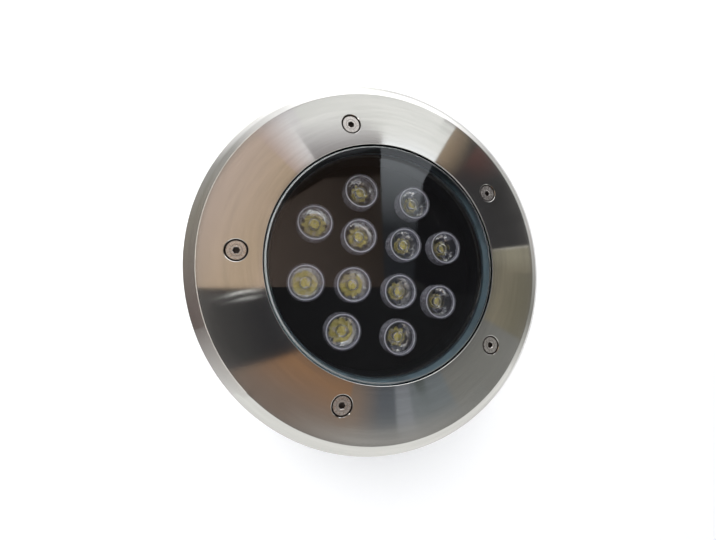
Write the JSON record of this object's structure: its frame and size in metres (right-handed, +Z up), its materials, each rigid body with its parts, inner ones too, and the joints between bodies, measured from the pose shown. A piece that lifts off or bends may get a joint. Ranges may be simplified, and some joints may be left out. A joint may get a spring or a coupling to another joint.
{
  "type": "in ground well light",
  "caption": "Round in-ground well light: flat bevelled steel ring, flush thick glass over a ring of lensed LEDs, ribbed housing that drops into a plastic ground sleeve.",
  "frame": {"origin": "middle of the ground sleeve's open foot, on the plane that it stands on", "axes": "+Z up out of the ground through the middle of the glass; +Y towards the cover screw that stands on its own at the top of the picture; +X towards one cable notch"},
  "size_m": [0.2, 0.2, 0.112],
  "materials": {
    "sleeve_plastic": "moulded, matte",
    "ring_steel": "brushed round the centre",
    "cover_screw_steel": "satin, turned",
    "window_glass": "polished",
    "gasket_silicone": "soft, matte",
    "housing_aluminium": "die-cast, blasted",
    "front_plate_black": "fine matte",
    "board_black": "solder mask",
    "thermal_pad": "soft",
    "carrier_aluminium": "rolled sheet",
    "small_screw_steel": "plated",
    "driver_case": "moulded",
    "terminal_plastic": "moulded",
    "wire_red": "smooth insulation",
    "wire_black": "smooth insulation",
    "wire_brown": "smooth insulation",
    "wire_blue": "smooth insulation",
    "gland_nylon": "moulded",
    "seal_rubber": "soft",
    "holder_clear": "frosted clear",
    "lens_clear": "polished acrylic",
    "led_phosphor": "cast phosphor"
  },
  "bodies": {
    "sleeve": {"ground_sleeve": "sleeve_plastic"},
    "lamp": {"board_screws": "small_screw_steel", "board_wire_black": "wire_black", "board_wire_red": "wire_red", "carrier_plate": "carrier_aluminium", "carrier_screws": "small_screw_steel", "collimator_lens_01": "lens_clear", "collimator_lens_02": "lens_clear", "collimator_lens_03": "lens_clear", "collimator_lens_04": "lens_clear", "collimator_lens_05": "lens_clear", "collimator_lens_06": "lens_clear", "collimator_lens_07": "lens_clear", "collimator_lens_08": "lens_clear", "collimator_lens_09": "lens_clear", "collimator_lens_10": "lens_clear", "collimator_lens_11": "lens_clear", "collimator_lens_12": "lens_clear", "driver_screws": "small_screw_steel", "front_plate": "front_plate_black", "gland_body": "gland_nylon", "gland_locknut": "gland_nylon", "gland_nut": "gland_nylon", "gland_oring": "seal_rubber", "gland_seal": "seal_rubber", "lamp_housing": "housing_aluminium", "led_board": "board_black", "led_driver": "driver_case", "led_emitter_01": "led_phosphor", "led_emitter_02": "led_phosphor", "led_emitter_03": "led_phosphor", "led_emitter_04": "led_phosphor", "led_emitter_05": "led_phosphor", "led_emitter_06": "led_phosphor", "led_emitter_07": "led_phosphor", "led_emitter_08": "led_phosphor", "led_emitter_09": "led_phosphor", "led_emitter_10": "led_phosphor", "led_emitter_11": "led_phosphor", "led_emitter_12": "led_phosphor", "lens_holder_01": "holder_clear", "lens_holder_02": "holder_clear", "lens_holder_03": "holder_clear", "lens_holder_04": "holder_clear", "lens_holder_05": "holder_clear", "lens_holder_06": "holder_clear", "lens_holder_07": "holder_clear", "lens_holder_08": "holder_clear", "lens_holder_09": "holder_clear", "lens_holder_10": "holder_clear", "lens_holder_11": "holder_clear", "lens_holder_12": "holder_clear", "supply_wire_blue": "wire_blue", "supply_wire_brown": "wire_brown", "terminal_block": "terminal_plastic", "thermal_pad": "thermal_pad"},
    "cover": {"cover_ring": "ring_steel", "cover_screws": "cover_screw_steel", "window_glass": "window_glass", "glass_gasket": "gasket_silicone"}
  },
  "joints": [
    {"name": "lamp_lift", "type": "slide", "parent": "sleeve", "child": "lamp", "axis": [0, 0, 1], "range_m": [0, 0.11]},
    {"name": "cover_lift", "type": "slide", "parent": "lamp", "child": "cover", "axis": [0, 0, 1], "range_m": [0, 0.05]}
  ]
}
